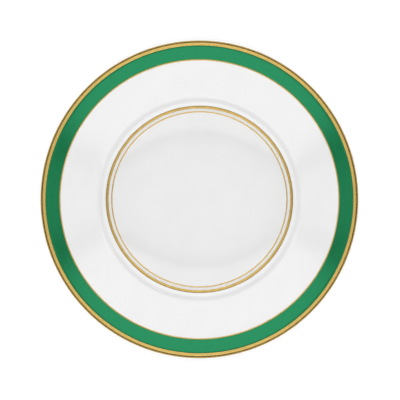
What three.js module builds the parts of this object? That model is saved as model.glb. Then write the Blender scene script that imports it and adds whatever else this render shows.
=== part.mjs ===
// A china dinner plate: a porcelain body on a foot ring, the glaze over it, and the green enamel and gold
// fired onto the glaze. Every piece is turned about the same upright axis.
// Millimetres and degrees, +Z up. The origin is the middle of the circle that the foot ring stands on.
import * as THREE from 'three';

// Overall size
const PLATE_RADIUS = 135;           // to the outside of the gold on the lip
const SEGMENTS = 56;                // flats around each piece

// Thickness of the fired layers, and the hair of space that keeps neighbours apart
const GLAZE_THICKNESS = 0.3;
const ENAMEL_THICKNESS = 0.15;
const GOLD_THICKNESS = 0.1;
const BOND_GAP = 0.03;

// Face of the body, from the middle outwards
const FLOOR_HEIGHT = 5.1;           // above the table
const FLAT_FLOOR_RADIUS = 22;
const DISH_RADIUS = 58;             // the floor dishes gently up to here, then more quickly to its edge
const DISH_SLOPE = 4.2;
const FLOOR_RADIUS = 74.9;
const FLOOR_EDGE_SLOPE = 8;
const BEND_RADIUS = 77.3;           // the floor turns up quickly to here, then more gently into the wall
const BEND_SLOPE = 34;
const DISH_STEPS = 2;
const WALL_SLOPE = 42;
const WALL_FOOT_RADIUS = 80.6;
const WALL_TOP_RADIUS = 82;
const SHOULDER_RADIUS = 89.1;
const SHOULDER_STEPS = 4;
const RIM_SLOPE = 10.5;
const ROLL_RADIUS = 131.2;          // the rim is straight up to here, then rolls over to the lip
const ROLL_SLOPE = -35;
const ROLL_STEPS = 4;

// Lip of the body
const LIP_ROUNDING = 0.6;
const LIP_STEPS = 6;

// Back of the body, from the lip inwards
const BACK_RIM_SLOPE = 12.2;
const BACK_SHOULDER_RADIUS = 90.5;
const BACK_WALL_RADIUS = 85.3;
const BACK_STEPS = 3;
const FOOT_ROOT_RADIUS = 81.3;
const FOOT_FILLET = 3;

// Foot ring and the base inside it
const FOOT_OUTER_DRAFT = 10;        // lean of the foot's outer side from upright
const FOOT_INNER_DRAFT = 15;
const FOOT_ROUNDING = 0.6;
const FOOT_EDGE_WIDTH = 2.2;        // the flat that the plate stands on
const BASE_EDGE_HEIGHT = 4.4;       // underside of the base where it meets the foot, above the table
const BASE_EDGE_SLOPE = 5.5;
const BASE_DISH_SLOPE = 3.8;
const BASE_FILLET = 0.8;
const CORNER_STEPS = 2;
const GLAZE_STOP = 1;               // the foot is wiped clean of glaze up to this height

// Decoration, as the radii of its inner and outer edges
const WELL_LINE = [FLOOR_RADIUS, 76];
const WELL_BAND = [78.3, WALL_FOOT_RADIUS];
const BORDER_LINE = [118.2, 119.1];
const GREEN_BAND = [119.2, 130.7];
const RIM_GOLD_INNER_RADIUS = 130.8;
const RIM_GOLD_LAST_STEP = 3;       // how far round the lip the gold goes, in steps of its rounding

// An outline is a list of points that runs outwards over the face, round the lip and back underneath.
// Each point holds its radius, its height and the heading of the outline there: 0 is outwards, 90 is up.
const radians = THREE.MathUtils.degToRad;
const degrees = THREE.MathUtils.radToDeg;
const last = (outline) => outline[outline.length - 1];

// Adds an arc, or a straight line where the heading doesn't change, with one point at each given radius.
// The sine of the heading grows evenly with the radius along an arc, and a chord runs at the mean heading.
function arcThrough(outline, radii, endHeading) {
  const start = last(outline);
  const startSine = Math.sin(radians(start.heading));
  const endSine = Math.sin(radians(endHeading));
  const inwards = Math.abs(endHeading) > 90;
  for (const radius of radii) {
    const share = (radius - start.radius) / (radii[radii.length - 1] - start.radius);
    const slope = degrees(Math.asin(startSine + share * (endSine - startSine)));
    const heading = inwards ? -180 - slope : slope;
    const rise = (radius - start.radius) * Math.tan(radians((start.heading + heading) / 2));
    outline.push({ radius, height: start.height + rise, heading });
  }
}

// Evenly spaced radii, from just after the first to the last.
function stepsBetween(from, to, steps) {
  return Array.from({ length: steps }, (_, i) => from + ((to - from) * (i + 1)) / steps);
}

// Adds a rounding of a given radius that ends at a given heading.
function turnTo(outline, endHeading, rounding, steps) {
  const turn = (endHeading - last(outline).heading) / steps;
  const chord = 2 * rounding * Math.sin(radians(Math.abs(turn) / 2));
  for (let step = 0; step < steps; step += 1) {
    const { radius, height, heading } = last(outline);
    const direction = radians(heading + turn / 2);
    outline.push({
      radius: radius + chord * Math.cos(direction),
      height: height + chord * Math.sin(direction),
      heading: heading + turn,
    });
  }
}

// Adds a straight line up or down to a given height.
function lineToHeight(outline, height) {
  const { radius, height: from, heading } = last(outline);
  outline.push({ radius: radius + (height - from) / Math.tan(radians(heading)), height, heading });
}

// Adds a straight line to a given radius.
function lineToRadius(outline, radius) {
  arcThrough(outline, [radius], last(outline).heading);
}

// How much height a rounding takes up between two headings.
function roundingHeight(rounding, startHeading, endHeading) {
  return rounding * Math.abs(Math.cos(radians(startHeading)) - Math.cos(radians(endHeading)));
}

// The face: a floor that is flat in the middle and dishes towards its edge, an S-shaped wall, and a straight
// rim that rolls over at its edge.
function drawFace() {
  const lipReach = LIP_ROUNDING + GLAZE_THICKNESS + GOLD_THICKNESS + 2 * BOND_GAP;
  const lipRadius = PLATE_RADIUS - lipReach - LIP_ROUNDING * Math.sin(radians(ROLL_SLOPE));
  const bendMiddle = (WELL_LINE[1] + BEND_RADIUS) / 2;
  const face = [{ radius: 0, height: FLOOR_HEIGHT, heading: 0 }];
  arcThrough(face, [FLAT_FLOOR_RADIUS], 0);
  arcThrough(face, stepsBetween(FLAT_FLOOR_RADIUS, DISH_RADIUS, DISH_STEPS), DISH_SLOPE);
  arcThrough(face, stepsBetween(DISH_RADIUS, FLOOR_RADIUS, DISH_STEPS), FLOOR_EDGE_SLOPE);
  arcThrough(face, [WELL_LINE[1], bendMiddle, BEND_RADIUS], BEND_SLOPE);
  arcThrough(face, [WELL_BAND[0], WALL_FOOT_RADIUS], WALL_SLOPE);
  arcThrough(face, [WALL_TOP_RADIUS], WALL_SLOPE);
  arcThrough(face, stepsBetween(WALL_TOP_RADIUS, SHOULDER_RADIUS, SHOULDER_STEPS), RIM_SLOPE);
  arcThrough(face, [ROLL_RADIUS], RIM_SLOPE);
  arcThrough(face, stepsBetween(ROLL_RADIUS, lipRadius, ROLL_STEPS), ROLL_SLOPE);
  return face;
}

// The lip: a rounding from the rolled edge of the face to the back.
function drawLip(face) {
  const lip = [last(face)];
  turnTo(lip, BACK_RIM_SLOPE - 180, LIP_ROUNDING, LIP_STEPS);
  return lip;
}

// The back: the underside of the rim and wall, then the outer side of the foot as far down as it is glazed.
function drawBack(lip) {
  const back = [last(lip)];
  lineToRadius(back, BACK_SHOULDER_RADIUS);
  arcThrough(back, stepsBetween(BACK_SHOULDER_RADIUS, BACK_WALL_RADIUS, BACK_STEPS), WALL_SLOPE - 180);
  lineToRadius(back, FOOT_ROOT_RADIUS);
  turnTo(back, -90 - FOOT_OUTER_DRAFT, FOOT_FILLET, CORNER_STEPS);
  lineToHeight(back, GLAZE_STOP);
  return back;
}

// The bare edge of the foot: rounded corners on both sides of the flat that the plate stands on.
function drawFootEdge(back) {
  const foot = [last(back)];
  lineToHeight(foot, roundingHeight(FOOT_ROUNDING, last(foot).heading, -180));
  turnTo(foot, -180, FOOT_ROUNDING, CORNER_STEPS);
  lineToRadius(foot, last(foot).radius - FOOT_EDGE_WIDTH);
  turnTo(foot, -270 + FOOT_INNER_DRAFT, FOOT_ROUNDING, CORNER_STEPS);
  lineToHeight(foot, GLAZE_STOP);
  return foot;
}

// The base: up the inner side of the foot, then to the middle under the dish of the floor.
function drawBase(foot) {
  const base = [last(foot)];
  const edgeHeading = BASE_EDGE_SLOPE - 180;
  lineToHeight(base, BASE_EDGE_HEIGHT - roundingHeight(BASE_FILLET, last(base).heading, edgeHeading));
  turnTo(base, edgeHeading, BASE_FILLET, CORNER_STEPS);
  arcThrough(base, [DISH_RADIUS], BASE_DISH_SLOPE - 180);
  arcThrough(base, stepsBetween(DISH_RADIUS, FLAT_FLOOR_RADIUS, DISH_STEPS), -180);
  lineToRadius(base, 0);
  return base;
}

// The point at a given distance above an outline's surface, as LatheGeometry takes it.
function lifted({ radius, height, heading }, distance) {
  const angle = radians(heading);
  return new THREE.Vector2(radius - distance * Math.sin(angle), height + distance * Math.cos(angle));
}

// The closed profile of a layer that follows an outline between two distances above it.
function layerProfile(outline, bottom, top) {
  const upper = outline.map((point) => lifted(point, top));
  const lower = outline.map((point) => lifted(point, bottom)).reverse();
  return [...upper, ...lower, upper[0]];
}

// Turns a profile into a mesh about the upright axis. The profiles here start with their upper side, and
// LatheGeometry's faces point outwards when it starts with the lower one.
function turned(name, profile, material) {
  const geometry = new THREE.LatheGeometry([...profile].reverse(), SEGMENTS);
  geometry.rotateX(Math.PI / 2);
  const mesh = new THREE.Mesh(geometry, material);
  mesh.name = name;
  return mesh;
}

const biscuit = new THREE.MeshStandardMaterial({ color: '#ece8df', roughness: 0.8, metalness: 0 });
const glaze = new THREE.MeshStandardMaterial({ color: '#f2f2f0', roughness: 0.12, metalness: 0 });
const greenEnamel = new THREE.MeshStandardMaterial({ color: '#0b7a50', roughness: 0.2, metalness: 0 });
const gold = new THREE.MeshStandardMaterial({ color: '#cda35c', roughness: 0.3, metalness: 1 });

const face = drawFace();
const roll = face.filter(({ radius }) => radius >= ROLL_RADIUS);
const lip = drawLip(face);
const back = drawBack(lip);
const footEdge = drawFootEdge(back);
const base = drawBase(footEdge);
const glazed = [...face, ...lip.slice(1), ...back.slice(1)];

const GLAZE_TOP = BOND_GAP + GLAZE_THICKNESS;
const DECORATION_BOTTOM = GLAZE_TOP + BOND_GAP;

// The stretch of the face between two radii, which starts and ends exactly on them.
function faceBetween([innerRadius, outerRadius]) {
  const stretch = face.filter(({ radius }) => radius >= innerRadius && radius <= outerRadius);
  return stretch.length > 1 ? stretch : [innerRadius, outerRadius].map(rimPoint);
}

// A point on the straight rim.
function rimPoint(radius) {
  const fall = (roll[0].radius - radius) * Math.tan(radians(RIM_SLOPE));
  return { radius, height: roll[0].height - fall, heading: RIM_SLOPE };
}

function decoration(name, outline, thickness, material) {
  return turned(name, layerProfile(outline, DECORATION_BOTTOM, DECORATION_BOTTOM + thickness), material);
}

function porcelainBody() {
  const outline = [...glazed, ...footEdge.slice(1), ...base.slice(1)];
  return turned('porcelain_body', outline.map((point) => lifted(point, 0)), biscuit);
}

function glazeCoat() {
  return turned('glaze_coat', layerProfile(glazed, BOND_GAP, GLAZE_TOP), glaze);
}

function baseGlaze() {
  return turned('base_glaze', layerProfile(base, BOND_GAP, GLAZE_TOP), glaze);
}

function rimGoldBand() {
  const outline = [rimPoint(RIM_GOLD_INNER_RADIUS), ...roll, ...lip.slice(1, RIM_GOLD_LAST_STEP + 1)];
  return decoration('rim_gold_band', outline, GOLD_THICKNESS, gold);
}

const plate = new THREE.Group();
plate.add(
  porcelainBody(),
  glazeCoat(),
  baseGlaze(),
  rimGoldBand(),
  decoration('green_enamel_band', faceBetween(GREEN_BAND), ENAMEL_THICKNESS, greenEnamel),
  decoration('border_gold_line', faceBetween(BORDER_LINE), GOLD_THICKNESS, gold),
  decoration('well_gold_band', faceBetween(WELL_BAND), GOLD_THICKNESS, gold),
  decoration('well_gold_line', faceBetween(WELL_LINE), GOLD_THICKNESS, gold),
);

export default plate;
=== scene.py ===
import math

import bmesh
import bpy
import numpy as np
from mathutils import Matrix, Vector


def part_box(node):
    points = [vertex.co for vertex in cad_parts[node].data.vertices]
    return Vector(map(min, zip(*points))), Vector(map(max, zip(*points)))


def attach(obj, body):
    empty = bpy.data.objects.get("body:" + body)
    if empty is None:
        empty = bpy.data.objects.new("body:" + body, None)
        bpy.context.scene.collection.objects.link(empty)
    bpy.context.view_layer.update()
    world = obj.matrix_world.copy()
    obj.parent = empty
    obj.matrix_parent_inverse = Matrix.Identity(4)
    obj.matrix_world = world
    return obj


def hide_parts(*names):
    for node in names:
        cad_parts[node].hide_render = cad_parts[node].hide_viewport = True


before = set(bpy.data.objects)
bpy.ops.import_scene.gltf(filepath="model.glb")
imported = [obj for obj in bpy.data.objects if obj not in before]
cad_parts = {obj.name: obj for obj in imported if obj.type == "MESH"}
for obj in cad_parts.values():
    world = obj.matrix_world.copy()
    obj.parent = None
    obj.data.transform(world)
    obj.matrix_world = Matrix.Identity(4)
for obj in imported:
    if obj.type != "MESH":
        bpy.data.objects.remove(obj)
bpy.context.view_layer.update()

# A china dinner plate, seen from straight above: white porcelain on a foot ring, glazed, with a green
# enamel band and gold lines fired onto the glaze. Every piece is turned about the upright axis.

# The outline is drawn in millimetres and degrees, to the same dimensions as the CAD but with finer
# steps, and becomes metres as each mesh is made.
MM = 0.001

# Overall size and fineness
PLATE_RADIUS = 135
SEGMENTS = 320                      # around each piece
LONGEST_STEP = 2.5                  # along an outline
SHARPEST_TURN = 3                   # between two points of an outline

# Thickness of the fired layers
GLAZE_THICKNESS = 0.3
ENAMEL_THICKNESS = 0.15
GOLD_THICKNESS = 0.1
BOND_GAP = 0.03                     # between neighbours in the CAD
SUNK_DEPTH = 0.02                   # how far the decoration sits in the glaze

# Face of the ware, from the middle outwards
FLOOR_HEIGHT = 5.1
FLAT_FLOOR_RADIUS = 22
DISH_RADIUS = 58
DISH_SLOPE = 4.2
FLOOR_RADIUS = 74.9
FLOOR_EDGE_SLOPE = 8
BEND_RADIUS = 77.3                  # the floor turns up quickly to here, then more gently
BEND_SLOPE = 34
WALL_SLOPE = 42
WALL_FOOT_RADIUS = 80.6
WALL_TOP_RADIUS = 82
SHOULDER_RADIUS = 89.1
RIM_SLOPE = 10.5
ROLL_RADIUS = 131.2                 # the rim is straight up to here, then rolls over to the lip
ROLL_SLOPE = -35
LIP_ROUNDING = 0.6

# Back of the ware, from the lip inwards
BACK_RIM_SLOPE = 12.2
BACK_SHOULDER_RADIUS = 90.5
BACK_WALL_RADIUS = 85.3
FOOT_ROOT_RADIUS = 81.3
FOOT_FILLET = 3
FOOT_OUTER_DRAFT = 10
FOOT_INNER_DRAFT = 15
FOOT_ROUNDING = 0.6
FOOT_EDGE_WIDTH = 2.2
BASE_EDGE_HEIGHT = 4.4
BASE_EDGE_SLOPE = 5.5
BASE_DISH_SLOPE = 3.8
BASE_FILLET = 0.8
GLAZE_STOP = 1                      # the foot is wiped clean of glaze up to this height

# Decoration, as the radii of its inner and outer edges. The border line touches the green band, and
# the green band touches the gold of the rim.
WELL_LINE = (FLOOR_RADIUS, 76)
WELL_BAND = (78.3, WALL_FOOT_RADIUS)
BORDER_INNER_RADIUS = 118.2
GREEN_INNER_RADIUS = 119.15
GREEN_OUTER_RADIUS = 130.7
RIM_GOLD_TURN = 66                 # how far round the lip the gold goes, in degrees of its rounding

# Edges of the fired layers
GLAZE_EDGE = 0.5                    # width over which a layer thins out to nothing
ENAMEL_EDGE = 0.16
GOLD_EDGE = 0.08
EDGE_STEPS = 5
UNDERSIDE_STRIDE = 3                # a layer's hidden underside has one point for this many on top
BRUSH_WANDER = 0.05                 # how far a painted edge wanders either way
BRUSH_WAVES = (3, 5, 8, 13, 21, 34)    # around the plate
SIZE_TOLERANCE = 0.3                # between a piece's box and its CAD node's
MERGE_DISTANCE = 0.001

# Colours, as linear red, green and blue
GLAZE_WHITE = (0.83, 0.83, 0.83)
GLAZE_WHITE_THIN = (0.845, 0.845, 0.845)
SPECK_COLOUR = (0.45, 0.4, 0.35)
GREEN_DEEP = (0.0, 0.06, 0.012)
GREEN_THIN = (0.0, 0.075, 0.015)
GREEN_POOLED = (0.0, 0.05, 0.01)
GREEN_SHEEN = (0.12, 1.0, 0.48)       # of the light that it reflects
GOLD_BRIGHT = (0.42, 0.29, 0.085)
GOLD_DULL = (0.38, 0.255, 0.075)
BISCUIT_PALE = (0.78, 0.75, 0.68)
BISCUIT_DEEP = (0.7, 0.67, 0.6)
BISCUIT_RUBBED = (0.35, 0.34, 0.32)

# Finishes. A roughness runs from the low to the high end of the noise that drives it.
GLAZE_IOR = 1.55
GREEN_IOR = 1.9
BISCUIT_IOR = 1.5
NOISE_RANGE = (0.3, 0.7)            # where nearly all of a noise's values lie
GLAZE_ROUGHNESS = (0.06, 0.1)
GREEN_ROUGHNESS = (0.1, 0.16)
GOLD_ROUGHNESS = (0.22, 0.28)
GOLD_DULLING = (0.05, 0)            # added to the gold's roughness, most where it has dulled
BISCUIT_ROUGHNESS = (0.65, 0.8)

# Marks in the surfaces. Reliefs are a size and a height, and brush marks a width and a number of breaks.
GLAZE_CLOUDS = 18
GLAZE_SHEEN_CLOUDS = 25
GLAZE_WAVES = (40, 0.06)
GLAZE_RIPPLES = (1.6, 0.003)
SPECK_SPACING = 8
SPECK_RADIUS = 0.12
GREEN_BRUSH = (0.5, 4)
GREEN_BRUSH_HEIGHT = 0.004
GREEN_BLOTCHES = 4
GREEN_RIPPLES = (2, 0.004)
POOL_WIDTH = 0.6
GOLD_BRUSH = (0.12, 30)
GOLD_BRUSH_HEIGHT = 0.0006
GOLD_PATCHES = (3, 0.0015)
BISCUIT_GRAIN = (0.25, 0.02)
RUBBED_PATCHES = 2.5
RUBBED_RANGE = (0.45, 0.7)          # of the noise, from clean to rubbed grey
RUBBED_HEIGHT = 0.15

# Floor, lights and camera, in metres. The lights are the brightness of the sky by the height of its
# direction, from 0 at the horizon to 1 straight up, and by how far it leans to either side of X.
FLOOR_WIDTH = 16
FLOOR_WHITE = 0.8
FLOOR_ROUGHNESS = 0.9
FLOOR_GLOW = 0.26
BRIGHTEST = 2.5
LIGHT_BY_HEIGHT = [
    (0.05, 0.8), (0.17, 2.4), (0.34, 2.4), (0.45, 0.04), (0.78, 0.04), (0.88, 2.3), (0.94, 2.45)
]
LIGHT_ACROSS_GAP = [(0, 1.5), (0.065, 1.4), (0.082, 0.45), (0.1, 0.45), (0.125, 2.2), (0.2, 2.4)]
ROOM_LIGHT_ACROSS = [(0, 1.4), (0.3, 1.7), (0.8, 2.5)]
ROOM_TO_LIGHTS = (0.3, 0.45)
CAMERA_LENS = 120
CAMERA_HEIGHT = 1.156
CAMERA_OFFSET = (0.0005, -0.00055)


# ------------------------------------------------------------------------------ outline of the ware
# An outline is a list of (radius, height, heading) that runs outwards over the face, round the lip and
# back along the underside. A heading of 0 is outwards and 90 is up.

def sine(angle):
    return math.sin(math.radians(angle))


def cosine(angle):
    return math.cos(math.radians(angle))


def arc_to(outline, end_radius, end_heading):
    """Adds an arc to a radius. The sine of the heading changes evenly with the radius along it."""
    radius, height, heading = outline[-1]
    turn = abs(end_heading - heading)
    steps = math.ceil(max(abs(end_radius - radius) / LONGEST_STEP, turn / SHARPEST_TURN))
    radii = np.linspace(radius, end_radius, steps + 1)
    slopes = np.degrees(np.arcsin(np.linspace(sine(heading), sine(end_heading), steps + 1)))
    headings = -180 - slopes if abs(end_heading) > 90 else slopes
    chord_headings = (headings[1:] + headings[:-1]) / 2
    heights = height + np.cumsum(np.diff(radii) * np.tan(np.radians(chord_headings)))
    outline.extend(zip(radii[1:], heights, headings[1:]))


def turn_to(outline, end_heading, rounding):
    """Adds a rounding of a given radius that ends at a given heading."""
    radius, height, heading = outline[-1]
    steps = math.ceil(abs(end_heading - heading) / SHARPEST_TURN)
    headings = np.linspace(heading, end_heading, steps + 1)
    chord_headings = np.radians((headings[1:] + headings[:-1]) / 2)
    chord = 2 * rounding * sine(abs(end_heading - heading) / steps / 2)
    radii = radius + np.cumsum(chord * np.cos(chord_headings))
    heights = height + np.cumsum(chord * np.sin(chord_headings))
    outline.extend(zip(radii, heights, headings[1:]))


def line(outline, length):
    """Adds a straight line on from the outline's end."""
    radius, height, heading = outline[-1]
    steps = math.ceil(length / LONGEST_STEP)
    for distance in np.linspace(0, length, steps + 1)[1:]:
        outline.append((radius + distance * cosine(heading), height + distance * sine(heading), heading))


def line_to_radius(outline, radius):
    line(outline, (radius - outline[-1][0]) / cosine(outline[-1][2]))


def line_to_height(outline, height):
    line(outline, (height - outline[-1][1]) / sine(outline[-1][2]))


def rounding_height(rounding, start_heading, end_heading):
    """How much height a rounding takes up between two headings."""
    return rounding * abs(cosine(start_heading) - cosine(end_heading))


def draw_face():
    """The face: a floor that dishes gently, an S-shaped wall, and a straight rim that rolls over at
    its edge."""
    lip_reach = LIP_ROUNDING + GLAZE_THICKNESS + GOLD_THICKNESS + 2 * BOND_GAP
    face = [(0, FLOOR_HEIGHT, 0)]
    line_to_radius(face, FLAT_FLOOR_RADIUS)
    arc_to(face, DISH_RADIUS, DISH_SLOPE)
    arc_to(face, FLOOR_RADIUS, FLOOR_EDGE_SLOPE)
    arc_to(face, BEND_RADIUS, BEND_SLOPE)
    arc_to(face, WALL_FOOT_RADIUS, WALL_SLOPE)
    line_to_radius(face, WALL_TOP_RADIUS)
    arc_to(face, SHOULDER_RADIUS, RIM_SLOPE)
    line_to_radius(face, ROLL_RADIUS)
    arc_to(face, PLATE_RADIUS - lip_reach - LIP_ROUNDING * sine(ROLL_SLOPE), ROLL_SLOPE)
    return face


def draw_lip(start):
    """The lip: a rounding from the rolled edge of the face to the back."""
    lip = [start]
    turn_to(lip, BACK_RIM_SLOPE - 180, LIP_ROUNDING)
    return lip


def draw_back(start):
    """The back: the underside of the rim and wall, then the outer side of the foot down to where the
    glaze stops."""
    back = [start]
    line_to_radius(back, BACK_SHOULDER_RADIUS)
    arc_to(back, BACK_WALL_RADIUS, WALL_SLOPE - 180)
    line_to_radius(back, FOOT_ROOT_RADIUS)
    turn_to(back, -90 - FOOT_OUTER_DRAFT, FOOT_FILLET)
    line_to_height(back, GLAZE_STOP)
    return back


def draw_foot_edge(start):
    """The bare edge of the foot: rounded corners on both sides of the flat that the plate stands on."""
    foot = [start]
    line_to_height(foot, rounding_height(FOOT_ROUNDING, start[2], -180))
    turn_to(foot, -180, FOOT_ROUNDING)
    line_to_radius(foot, foot[-1][0] - FOOT_EDGE_WIDTH)
    turn_to(foot, -270 + FOOT_INNER_DRAFT, FOOT_ROUNDING)
    line_to_height(foot, GLAZE_STOP)
    return foot


def draw_base(start):
    """The base: up the inner side of the foot, then to the middle under the dish of the floor."""
    base = [start]
    edge_heading = BASE_EDGE_SLOPE - 180
    line_to_height(base, BASE_EDGE_HEIGHT - rounding_height(BASE_FILLET, start[2], edge_heading))
    turn_to(base, edge_heading, BASE_FILLET)
    arc_to(base, DISH_RADIUS, BASE_DISH_SLOPE - 180)
    arc_to(base, FLAT_FLOOR_RADIUS, -180)
    line_to_radius(base, 0)
    return base


def lengths_along(outline):
    """The distance along an outline from its start to each of its points."""
    points = np.array(outline)[:, :2]
    return np.concatenate([[0], np.cumsum(np.linalg.norm(np.diff(points, axis=0), axis=1))])


def lifted(outline, along, lift):
    """Radius and height of the points at given distances along an outline and above its surface."""
    lengths = lengths_along(outline)
    radius, height, heading = (np.interp(along, lengths, column) for column in zip(*outline))
    angle = np.radians(heading)
    return radius - lift * np.sin(angle), height + lift * np.cos(angle)


# ------------------------------------------------------------------------------------------- meshes
AZIMUTHS = np.arange(SEGMENTS) * 2 * math.pi / SEGMENTS


def turned(name, radii, heights, ring):
    """Turns a section into a smooth piece. Each row holds one point of the section at every azimuth.
    A ring's section closes on itself, and any other starts and ends on the axis."""
    points = np.stack([radii * np.cos(AZIMUTHS), radii * np.sin(AZIMUTHS), heights], axis=-1) * MM
    shape = bmesh.new()
    grid = [[shape.verts.new(point) for point in row] for row in points]
    following = grid[1:] + grid[:1] if ring else grid[1:]
    for here, there in zip(grid, following):
        for column in range(SEGMENTS):
            beside = (column + 1) % SEGMENTS
            shape.faces.new((here[column], here[beside], there[beside], there[column]))
    bmesh.ops.remove_doubles(shape, verts=shape.verts, dist=MERGE_DISTANCE * MM)
    bmesh.ops.recalc_face_normals(shape, faces=shape.faces)
    for each in shape.faces:
        each.smooth = True
    mesh = bpy.data.meshes.new(name)
    shape.to_mesh(mesh)
    shape.free()
    piece = bpy.data.objects.new(name, mesh)
    bpy.context.scene.collection.objects.link(piece)
    return piece


def ware(name, outline):
    """The body, whose outline starts and ends on the axis."""
    radii, heights, _ = np.array(outline).T[:, :, None] * np.ones(SEGMENTS)
    return turned(name, radii, heights, ring=False)


def layer(name, outline, start, end, bottom, top, start_edge, end_edge):
    """A layer over the stretch of an outline between two distances along it, which may differ with the
    azimuth. It thins out over the width of each edge. An edge with no width lies on the axis."""
    lengths = lengths_along(outline)
    inner, outer = np.mean(start) + start_edge, np.mean(end) - end_edge
    stops = np.concatenate([[inner], lengths[(lengths > inner) & (lengths < outer)], [outer]])
    shares = (stops - inner) / (outer - inner)
    quarter = np.linspace(0, 90, EDGE_STEPS + 1)[:-1]
    rounded = [(1 - cosine(angle), sine(angle)) for angle in quarter]
    opening = [(start + start_edge * across, rise) for across, rise in rounded if start_edge]
    closing = [(end - end_edge * across, rise) for across, rise in reversed(rounded) if end_edge]
    full_width = end - end_edge - start - start_edge
    middle = [(start + start_edge + share * full_width, 1) for share in shares]
    under = [(end + share * (start - end), 0) for share in shares[::UNDERSIDE_STRIDE]]
    upper = opening + middle + closing
    lower = under[1:] if end_edge else under
    lower = lower if start_edge else lower + [(start, 0)]
    rows = upper + lower if end_edge else lower + upper
    around = np.ones(SEGMENTS)
    sections = [lifted(outline, along * around, bottom + share * (top - bottom)) for along, share in rows]
    radii, heights = np.array(sections).transpose(1, 0, 2)
    return turned(name, radii, heights, ring=bool(start_edge and end_edge))


def wandering(radius, seed):
    """A painted edge's radius at each azimuth: it wanders a little from the true circle."""
    random = np.random.default_rng(seed)
    phases = random.uniform(0, 2 * math.pi, len(BRUSH_WAVES))
    waves = [np.sin(count * AZIMUTHS + phase) for count, phase in zip(BRUSH_WAVES, phases)]
    return radius + BRUSH_WANDER * np.mean(waves, axis=0)


# ------------------------------------------------------------------------------------ node building

def node(tree, kind, inputs=None, **settings):
    """Adds a node, makes its settings, and links each input to a socket or gives it a value."""
    made = tree.nodes.new("ShaderNode" + kind)
    for name, value in settings.items():
        setattr(made, name, value)
    for key, value in (inputs or {}).items():
        if isinstance(value, bpy.types.NodeSocket):
            tree.links.new(value, made.inputs[key])
        else:
            made.inputs[key].default_value = value
    return made


def math_node(tree, operation, *values):
    return node(tree, "Math", dict(enumerate(values)), operation=operation).outputs[0]


def between(tree, value, low, high, low_result=0, high_result=1, **settings):
    """A value carried from one range to another, and held within it."""
    inputs = {"Value": value, "From Min": low, "From Max": high}
    inputs |= {"To Min": low_result, "To Max": high_result}
    return node(tree, "MapRange", inputs, **settings).outputs["Result"]


def ramp(tree, value, stops):
    """A value turned into a colour by a list of (value, colour) stops."""
    made = node(tree, "ValToRGB", {"Fac": value})
    elements = made.color_ramp.elements
    while len(elements) < len(stops):
        elements.new(1)
    for element, (position, colour) in zip(elements, stops):
        element.position = position
        element.color = (*colour, 1)
    return made.outputs["Color"]


def grey(brightness):
    return (brightness,) * 3


def noise(tree, place, size, detail=2):
    """Noise with features of a given size in millimetres."""
    inputs = {"Vector": place, "Scale": 1 / (size * MM), "Detail": detail}
    return node(tree, "TexNoise", inputs).outputs["Fac"]


def place_on_plate(tree):
    return node(tree, "TexCoord").outputs["Object"]


def radius_and_direction(tree):
    """How far a point is from the axis, in metres, and the level direction that it lies in."""
    inputs = {0: place_on_plate(tree), 1: (1, 1, 0)}
    level = node(tree, "VectorMath", inputs, operation="MULTIPLY").outputs[0]
    radius = node(tree, "VectorMath", {0: level}, operation="LENGTH").outputs["Value"]
    direction = node(tree, "VectorMath", {0: level}, operation="NORMALIZE").outputs[0]
    return radius, direction


def brush_marks(tree, width, breaks, detail=3):
    """Marks that run round the plate, of a given width in millimetres, broken up round it."""
    radius, direction = radius_and_direction(tree)
    count = math_node(tree, "MULTIPLY", radius, 1 / (width * MM))
    rings = node(tree, "CombineXYZ", {"Z": count}).outputs[0]
    inputs = {0: direction, 1: (breaks, breaks, 0), 2: rings}
    place = node(tree, "VectorMath", inputs, operation="MULTIPLY_ADD").outputs[0]
    return node(tree, "TexNoise", {"Vector": place, "Scale": 1, "Detail": detail}).outputs["Fac"]


def relief(tree, *heights):
    """A bump from pairs of (noise, height in millimetres)."""
    total = 0
    for value, height in heights:
        total = math_node(tree, "MULTIPLY_ADD", value, height * MM, total)
    return node(tree, "Bump", {"Height": total, "Distance": 1}).outputs["Normal"]


def mixed_with(tree, factor, colour, other):
    """A colour socket mixed with another colour."""
    inputs = {"Factor": factor, "A": colour, "B": (*other, 1)}
    return node(tree, "Mix", inputs, data_type="RGBA").outputs["Result"]


def new_material(name, **inputs):
    material = bpy.data.materials.new(name)
    material.use_nodes = True
    shader = material.node_tree.nodes["Principled BSDF"]
    for key, value in inputs.items():
        shader.inputs[key.replace("_", " ")].default_value = value
    return material, material.node_tree, shader


def drive(tree, shader, **sockets):
    for key, socket in sockets.items():
        tree.links.new(socket, shader.inputs[key.replace("_", " ")])


# ---------------------------------------------------------------------------------------- materials

def glaze_material():
    """Clear glaze on white porcelain: nearly even white, a few specks, and very slight waves."""
    material, tree, shader = new_material("glaze", IOR=GLAZE_IOR)
    place = place_on_plate(tree)
    clouds = noise(tree, place, GLAZE_CLOUDS, detail=4)
    white = ramp(tree, clouds, [(0.35, GLAZE_WHITE), (0.65, GLAZE_WHITE_THIN)])
    specks = {"Vector": place, "Scale": 1 / (SPECK_SPACING * MM)}
    nearest = node(tree, "TexVoronoi", specks).outputs["Distance"]
    speck_edge = SPECK_RADIUS / SPECK_SPACING
    colour = mixed_with(tree, between(tree, nearest, speck_edge, 0.5 * speck_edge), white, SPECK_COLOUR)
    sheen_clouds = noise(tree, place, GLAZE_SHEEN_CLOUDS, detail=5)
    gloss = between(tree, sheen_clouds, *NOISE_RANGE, *GLAZE_ROUGHNESS)
    wave_size, wave_height = GLAZE_WAVES
    ripple_size, ripple_height = GLAZE_RIPPLES
    waves = noise(tree, place, wave_size, detail=1)
    surface = relief(tree, (waves, wave_height), (noise(tree, place, ripple_size), ripple_height))
    drive(tree, shader, Base_Color=colour, Roughness=gloss, Normal=surface)
    return material


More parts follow.
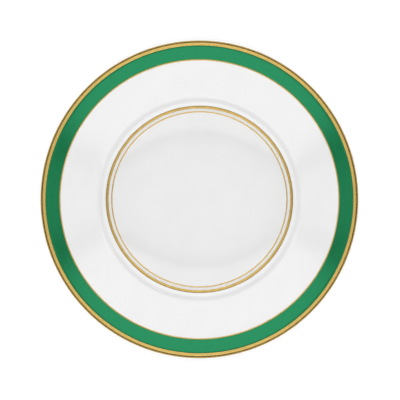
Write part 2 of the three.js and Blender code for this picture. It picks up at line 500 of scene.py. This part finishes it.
def green_material():
    """Green enamel, banded on with a brush: faint marks round it, and deeper where it pools."""
    material, tree, shader = new_material("green_enamel", IOR=GREEN_IOR, Specular_Tint=(*GREEN_SHEEN, 1))
    place = place_on_plate(tree)
    marks = brush_marks(tree, *GREEN_BRUSH)
    blotches = noise(tree, place, GREEN_BLOTCHES, detail=4)
    depth = math_node(tree, "MULTIPLY_ADD", marks, 0.5, math_node(tree, "MULTIPLY", blotches, 0.5))
    colour = ramp(tree, depth, [(0.35, GREEN_DEEP), (0.65, GREEN_THIN)])
    radius, _ = radius_and_direction(tree)
    inner = between(tree, radius, GREEN_INNER_RADIUS * MM, (GREEN_INNER_RADIUS + POOL_WIDTH) * MM, 1, 0)
    outer = between(tree, radius, (GREEN_OUTER_RADIUS - POOL_WIDTH) * MM, GREEN_OUTER_RADIUS * MM, 0, 1)
    mixed = mixed_with(tree, math_node(tree, "MAXIMUM", inner, outer), colour, GREEN_POOLED)
    gloss = between(tree, marks, *NOISE_RANGE, *GREEN_ROUGHNESS)
    ripple_size, ripple_height = GREEN_RIPPLES
    ripples = noise(tree, place, ripple_size)
    surface = relief(tree, (marks, GREEN_BRUSH_HEIGHT), (ripples, ripple_height))
    drive(tree, shader, Base_Color=mixed, Roughness=gloss, Normal=surface)
    return material


def gold_material():
    """Burnished gold: fine marks round the plate, and small patches where it has dulled."""
    material, tree, shader = new_material("gold", Metallic=1)
    place = place_on_plate(tree)
    marks = brush_marks(tree, *GOLD_BRUSH)
    patch_size, patch_height = GOLD_PATCHES
    patches = noise(tree, place, patch_size, detail=5)
    colour = ramp(tree, patches, [(0.3, GOLD_DULL), (0.6, GOLD_BRIGHT)])
    brushed = between(tree, marks, *NOISE_RANGE, *GOLD_ROUGHNESS)
    dulled = between(tree, patches, *NOISE_RANGE, *GOLD_DULLING)
    gloss = math_node(tree, "ADD", brushed, dulled)
    surface = relief(tree, (marks, GOLD_BRUSH_HEIGHT), (patches, patch_height))
    drive(tree, shader, Base_Color=colour, Roughness=gloss, Normal=surface)
    return material


def biscuit_material():
    """Bare fired porcelain: matt, with a fine grain, and grey rubbed into the edge it stands on."""
    material, tree, shader = new_material("biscuit", IOR=BISCUIT_IOR)
    place = place_on_plate(tree)
    grain_size, grain_height = BISCUIT_GRAIN
    grain = noise(tree, place, grain_size, detail=3)
    rubbed = between(tree, noise(tree, place, RUBBED_PATCHES, detail=5), *RUBBED_RANGE)
    height = node(tree, "SeparateXYZ", {0: place}).outputs["Z"]
    touching = between(tree, height, 0, RUBBED_HEIGHT * MM, 1, 0)
    wear = math_node(tree, "MULTIPLY", rubbed, touching)
    bare = ramp(tree, grain, [(0.3, BISCUIT_DEEP), (0.7, BISCUIT_PALE)])
    colour = mixed_with(tree, wear, bare, BISCUIT_RUBBED)
    gloss = between(tree, grain, *NOISE_RANGE, *BISCUIT_ROUGHNESS)
    drive(tree, shader, Base_Color=colour, Roughness=gloss, Normal=relief(tree, (grain, grain_height)))
    return material


# ---------------------------------------------------------------------------------- build the plate

def distance_to(radius):
    """How far along the face's outline a radius is."""
    return np.interp(radius, [point[0] for point in face], lengths_along(face))


def stand_for(piece, cad_node, material):
    """Puts a piece in the place of a CAD node, after checking that it has that node's size and place."""
    made = np.array([vertex.co for vertex in piece.data.vertices])
    for made_corner, cad_corner in zip((made.min(0), made.max(0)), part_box(cad_node)):
        off = np.abs(made_corner - np.array(cad_corner)).max() / MM
        if off > SIZE_TOLERANCE:
            raise RuntimeError(f"{piece.name} is {off:.2f} mm off {cad_node}")
    piece.data.materials.append(material)
    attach(piece, "root")
    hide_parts(cad_node)


face = draw_face()
lip = draw_lip(face[-1])
back = draw_back(lip[-1])
foot_edge = draw_foot_edge(back[-1])
base = draw_base(foot_edge[-1])
glazed = face + lip[1:] + back[1:]

GLAZE_TOP = BOND_GAP + GLAZE_THICKNESS
DECORATION_BOTTOM = GLAZE_TOP - SUNK_DEPTH
GOLD_TOP = GLAZE_TOP + BOND_GAP + GOLD_THICKNESS
ENAMEL_TOP = GLAZE_TOP + BOND_GAP + ENAMEL_THICKNESS


def decoration(name, inner, outer, top, edge):
    """A decoration over the stretch of the glaze between two distances along the outline."""
    return layer(name, glazed, inner, outer, DECORATION_BOTTOM, top, edge, edge)


def gold_ring(name, inner_radius, outer_radius, seed):
    inner = distance_to(wandering(inner_radius, seed))
    outer = distance_to(wandering(outer_radius, seed + 1))
    return decoration(name, inner, outer, GOLD_TOP, GOLD_EDGE)


glaze = glaze_material()
gold = gold_material()
green_inner = distance_to(wandering(GREEN_INNER_RADIUS, 1))
green_outer = distance_to(wandering(GREEN_OUTER_RADIUS, 2))
border_inner = distance_to(wandering(BORDER_INNER_RADIUS, 3))
rim_gold_end = lengths_along(face)[-1] + LIP_ROUNDING * math.radians(RIM_GOLD_TURN)

stand_for(
    ware("porcelain", glazed + foot_edge[1:] + base[1:]),
    "porcelain_body", biscuit_material())
stand_for(
    layer("glaze", glazed, 0, lengths_along(glazed)[-1], BOND_GAP, GLAZE_TOP, 0, GLAZE_EDGE),
    "glaze_coat", glaze)
stand_for(
    layer("base_glaze_pool", base, 0, lengths_along(base)[-1], BOND_GAP, GLAZE_TOP, GLAZE_EDGE, 0),
    "base_glaze", glaze)
stand_for(
    decoration("green_band", green_inner, green_outer, ENAMEL_TOP, ENAMEL_EDGE),
    "green_enamel_band", green_material())
stand_for(
    decoration("rim_gold", green_outer, rim_gold_end, GOLD_TOP, GOLD_EDGE),
    "rim_gold_band", gold)
stand_for(
    decoration("border_line", border_inner, green_inner, GOLD_TOP, GOLD_EDGE),
    "border_gold_line", gold)
stand_for(gold_ring("well_band", *WELL_BAND, seed=4), "well_gold_band", gold)
stand_for(gold_ring("well_line", *WELL_LINE, seed=6), "well_gold_line", gold)


# ------------------------------------------------------------------------- floor, lights and camera

def make_floor():
    """A white table that runs far out, and glows a little so that the plate's shadow stays pale."""
    half = FLOOR_WIDTH / 2
    mesh = bpy.data.meshes.new("floor")
    corners = [(-half, -half, 0), (half, -half, 0), (half, half, 0), (-half, half, 0)]
    mesh.from_pydata(corners, [], [(0, 1, 2, 3)])
    floor = bpy.data.objects.new("floor", mesh)
    bpy.context.scene.collection.objects.link(floor)
    material, _, _ = new_material(
        "floor", Base_Color=(*grey(FLOOR_WHITE), 1), Roughness=FLOOR_ROUGHNESS,
        Emission_Color=(1, 1, 1, 1), Emission_Strength=FLOOR_GLOW)
    mesh.materials.append(material)


def light_studio():
    """Two wide soft lights, towards +Y and -Y, over a white room. They leave a dimmer gap along X,
    straight above the plate, which the camera looks through."""
    world = bpy.data.worlds.new("studio")
    world.use_nodes = True
    tree = world.node_tree
    direction = node(tree, "SeparateXYZ", {0: node(tree, "TexCoord").outputs["Generated"]})
    aside = math_node(tree, "ABSOLUTE", direction.outputs["Y"])
    up = direction.outputs["Z"]
    lights = ramp(tree, up, [(height, grey(light / BRIGHTEST)) for height, light in LIGHT_BY_HEIGHT])
    gap = ramp(tree, aside, [(width, grey(light / BRIGHTEST)) for width, light in LIGHT_ACROSS_GAP])
    room = ramp(tree, aside, [(width, grey(light / BRIGHTEST)) for width, light in ROOM_LIGHT_ACROSS])
    rising = between(tree, up, *ROOM_TO_LIGHTS, interpolation_type="SMOOTHSTEP")
    across = node(tree, "Mix", {"Factor": rising, "A": room, "B": gap}).outputs["Result"]
    tree.links.new(math_node(tree, "MINIMUM", lights, across), tree.nodes["Background"].inputs["Color"])
    tree.nodes["Background"].inputs["Strength"].default_value = BRIGHTEST
    bpy.context.scene.world = world


def place_camera():
    """The camera looks straight down, a hair to one side of the axis."""
    data = bpy.data.cameras.new("camera")
    data.lens = CAMERA_LENS
    data.clip_end = 2 * CAMERA_HEIGHT
    camera = bpy.data.objects.new("camera", data)
    camera.location = (*CAMERA_OFFSET, CAMERA_HEIGHT)
    bpy.context.scene.collection.objects.link(camera)
    bpy.context.scene.camera = camera


make_floor()
light_studio()
place_camera()
bpy.context.scene.view_settings.view_transform = "Standard"
